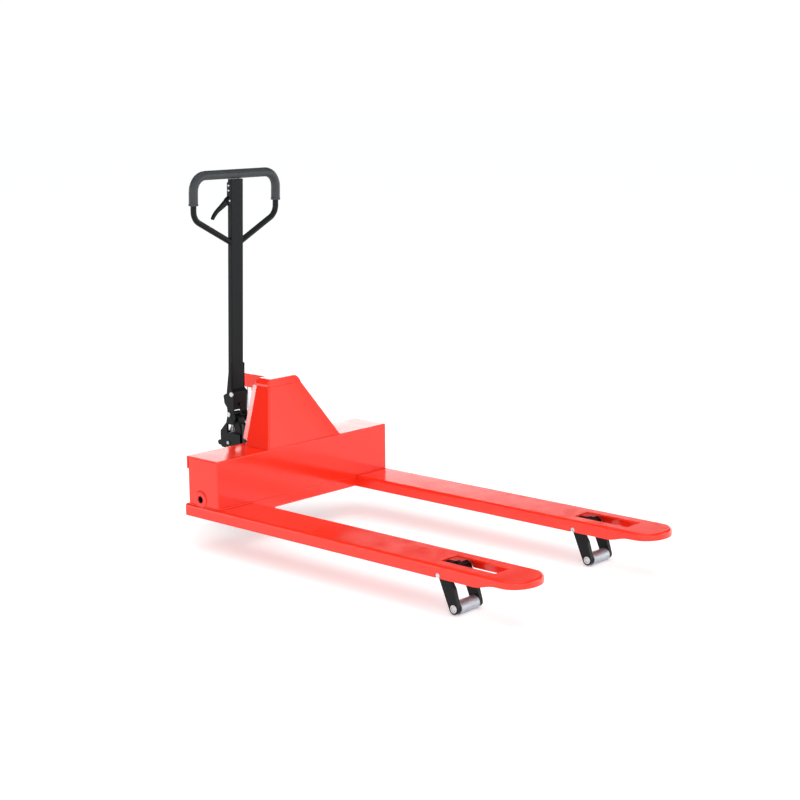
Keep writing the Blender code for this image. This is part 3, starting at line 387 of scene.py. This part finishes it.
def box_welds():
    """Beads along the box's front and side feet, and round the rocker shaft's bosses."""
    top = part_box("fork_left")[1][2]
    front = JACK_Y - 0.0012
    for side, name in SIDES:
        inner, outer = side * 0.246, side * 0.386
        low = top + 0.0014
        weld_bead(f"weld_box_front_{name}", [(inner, front, low), (outer, front, low)], 0.0028)
        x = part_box("side_plate_" + name)[0 if side < 0 else 1][0] + side * 0.0006
        foot = top + 0.0012
        weld_bead(f"weld_side_foot_{name}", [(x, JACK_Y + 0.006, foot), (x, JACK_Y + 0.138, foot)], 0.0022)
        boss_low, boss_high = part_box("shaft_boss_" + name)
        centre = middle_of("shaft_boss_" + name)
        radius, steps = (boss_high[1] - boss_low[1]) / 2 + 0.0006, 40
        turns = [2 * math.pi * k / steps for k in range(steps)]
        path = [(x, centre[1] + radius * math.cos(t), centre[2] + radius * math.sin(t)) for t in turns]
        weld_bead(f"weld_boss_{name}", path, 0.0018, pitch=0.0030, closed=True)


def tower_welds():
    """Beads where the tower stands on the box."""
    low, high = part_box("tower_shell")
    half, foot, radius = 0.166, low[2] + 0.0012, 0.0020
    front = low[1] - 0.0008
    weld_bead("weld_tower_front", [(-half, front, foot), (half, front, foot)], radius)
    for side, name in SIDES:
        x = (low[0] - 0.0006) if side < 0 else (high[0] + 0.0006)
        weld_bead(f"weld_tower_side_{name}", [(x, low[1] + 0.006, foot), (x, JACK_Y + 0.100, foot)], radius)


def axle_fittings():
    """Clips on the roller axles and washers on the steering axle."""
    for side, name in SIDES:
        _, y, z = middle_of("roller_axle_" + name)
        frame_low, frame_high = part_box("roller_frame_" + name)
        for far, word in ((-1, "outer"), (1, "inner")):
            x = frame_low[0] - 0.0001 if far < 0 else frame_high[0] + 0.0001
            clip = f"roller_clip_{name}_{word}"
            body = "roller_carrier_" + name
            washer(clip, 0.0081, 0.0118, 0.0009, (far, 0, 0), (x, y, z), body, "bright_steel")
        _, y, z = middle_of("steer_axle")
        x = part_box("steer_hub_" + name)[0 if side < 0 else 1][0] + side * 0.0004
        ring = f"axle_washer_{name}"
        washer(ring, 0.0123, 0.0195, 0.0012, (side, 0, 0), (x, y, z), "hydraulic_unit", "bright_steel")


def pump_fittings():
    """Wiper ring on the ram, and a screw plug in each side of the pump."""
    ram_y = middle_of("hydraulic_cylinder")[1]
    gland_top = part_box("gland_nut")[1][2]
    spot = (0, ram_y, gland_top + 0.0002)
    washer("ram_wiper", 0.0153, 0.0195, 0.0028, (0, 0, 1), spot, "hydraulic_unit", "tyre")
    pump_half = 0.0263
    for (side, name), (y, z) in zip(SIDES, ((0.350, 0.256), (0.312, 0.264))):
        spot = (side * pump_half, JACK_Y + y, z)
        hex_plug(
            f"valve_plug_{name}", 0.0022, 0.011, 0.0048, (side, 0, 0), spot, "hydraulic_unit", "bright_steel"
        )


def return_spring():
    """Round-wire spring with close end turns."""
    low, high = (Vector(corner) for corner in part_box("plunger_spring"))
    wire, turns, steps, sides = 0.0015, 7.5, 28, 10
    coil = (high.x - low.x) / 2 - wire
    middle = (low + high) / 2
    bottom, rise = low.z + wire, high.z - low.z - 2 * wire
    count = int(turns * steps)
    work, rings = bmesh.new(), []
    for i in range(count + 1):
        share = i / count
        eased = share - 0.06 * math.sin(2 * math.pi * share)
        turn = 2 * math.pi * turns * share
        outward = Vector((math.cos(turn), math.sin(turn), 0))
        centre = Vector((middle.x, middle.y, bottom + rise * eased)) + outward * coil
        ring = []
        for k in range(sides):
            around = 2 * math.pi * k / sides
            ring.append(work.verts.new(centre + (outward * math.cos(around) + UP * math.sin(around)) * wire))
        rings.append(ring)
    spring = tube("return_spring", rings, work, "hydraulic_unit", "bright_steel")
    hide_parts("plunger_spring")
    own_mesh(spring)


def handle_fittings():
    """Screws of the lever's housing, on the side of the mast."""
    profile = [(0.0006, 0), (0.0040, 0), (0.0040, 0.0006)]
    profile += [(0.0034, 0.0016), (0.0018, 0.0022), (0.0006, 0.0023)]
    for i, z in enumerate((0.783, 0.799)):
        spot = handle_point(-0.0299, 0.0135, z)
        spun(f"housing_screw_{i + 1}", profile, (-1, 0, 0), spot, "handle", "bright_steel", segments=24)


for sheet, roll in ROLLED.items():
    rolled(sheet, roll)
box_welds()
tower_welds()
axle_fittings()
pump_fittings()
return_spring()
handle_fittings()


# ---------------------------------------------------------------- studio


def studio():
    floor_mesh = bpy.data.meshes.new("studio_floor")
    half = 60.0
    corners = [(-half, -half, 0), (half, -half, 0), (half, half, 0), (-half, half, 0)]
    floor_mesh.from_pydata(corners, [], [(0, 1, 2, 3)])
    floor = bpy.data.objects.new("studio_floor", floor_mesh)
    bpy.context.collection.objects.link(floor)
    pale = Nodes("studio_pale")
    pale.shader.inputs["Base Color"].default_value = (0.82, 0.84, 0.84, 1)
    pale.shader.inputs["Roughness"].default_value = 0.9
    pale.shader.inputs["Specular IOR Level"].default_value = 0.0
    pale.shader.inputs["Emission Color"].default_value = (1, 1, 1, 1)
    pale.shader.inputs["Emission Strength"].default_value = 0.34
    floor_mesh.materials.append(pale.material)

    world = bpy.data.worlds.new("studio_world")
    bpy.context.scene.world = world
    world.use_nodes = True
    tree = world.node_tree

    def glow(strength):
        node = tree.nodes.new("ShaderNodeBackground")
        node.inputs["Color"].default_value = (1, 1, 1, 1)
        node.inputs["Strength"].default_value = strength
        return node

    path = tree.nodes.new("ShaderNodeLightPath")
    surround = tree.nodes["Background"]
    surround.inputs["Color"].default_value = (1, 1, 1, 1)
    surround.inputs["Strength"].default_value = SURROUND_LIGHT
    reflected = glow(1.0)
    where = tree.nodes.new("ShaderNodeTexCoord")
    parts = tree.nodes.new("ShaderNodeSeparateXYZ")
    wall = tree.nodes.new("ShaderNodeMapRange")
    wall.interpolation_type = "SMOOTHSTEP"
    low, high = (math.sin(math.radians(angle)) for angle in WALL_EDGE)
    for key, number in zip(RANGE_SOCKETS, (low, high, WALL_LIGHT, CEILING_LIGHT)):
        wall.inputs[key].default_value = number
    tree.links.new(where.outputs["Generated"], parts.inputs["Vector"])
    tree.links.new(parts.outputs["Z"], wall.inputs["Value"])
    tree.links.new(wall.outputs["Result"], reflected.inputs["Strength"])
    white = glow(1.04)
    dimmed = tree.nodes.new("ShaderNodeMixShader")
    tree.links.new(path.outputs["Is Glossy Ray"], dimmed.inputs["Fac"])
    tree.links.new(surround.outputs["Background"], dimmed.inputs[1])
    tree.links.new(reflected.outputs["Background"], dimmed.inputs[2])
    seen = tree.nodes.new("ShaderNodeMixShader")
    tree.links.new(path.outputs["Is Camera Ray"], seen.inputs["Fac"])
    tree.links.new(dimmed.outputs["Shader"], seen.inputs[1])
    tree.links.new(white.outputs["Background"], seen.inputs[2])
    tree.links.new(seen.outputs["Shader"], tree.nodes["World Output"].inputs["Surface"])


def soft_light(name, place, aim, size, power, glossy=True):
    data = bpy.data.lights.new(name, "AREA")
    data.shape = "RECTANGLE"
    data.size, data.size_y = size
    data.energy = power
    light = bpy.data.objects.new(name, data)
    bpy.context.collection.objects.link(light)
    light.location = place
    light.rotation_euler = (Vector(aim) - Vector(place)).to_track_quat("-Z", "Y").to_euler()
    light.visible_camera = False
    light.visible_glossy = glossy


def lights():
    soft_light("overhead", (-0.5, -0.5, 4.2), (0, 0, 0.2), (5.0, 5.0), 90)
    soft_light("key_front_left", (-3.2, -3.4, 2.8), (0, 0, 0.35), (2.6, 2.6), 38)
    soft_light("fill_front_right", (3.0, -3.6, 2.2), (0, 0, 0.3), (2.6, 2.6), 30)


def camera():
    data = bpy.data.cameras.new("camera")
    data.lens = LENS_MM
    data.sensor_width = 36.0
    data.clip_end = 100.0
    thing = bpy.data.objects.new("camera", data)
    bpy.context.collection.objects.link(thing)
    way = Vector(LOOK_AT) - Vector(CAMERA_AT)
    thing.matrix_world = (
        Matrix.Translation(CAMERA_AT)
        @ way.to_track_quat("-Z", "Y").to_matrix().to_4x4()
        @ Matrix.Rotation(CAMERA_ROLL, 4, "Z")
    )
    bpy.context.scene.camera = thing


studio()
lights()
camera()
bpy.context.scene.view_settings.view_transform = "Standard"
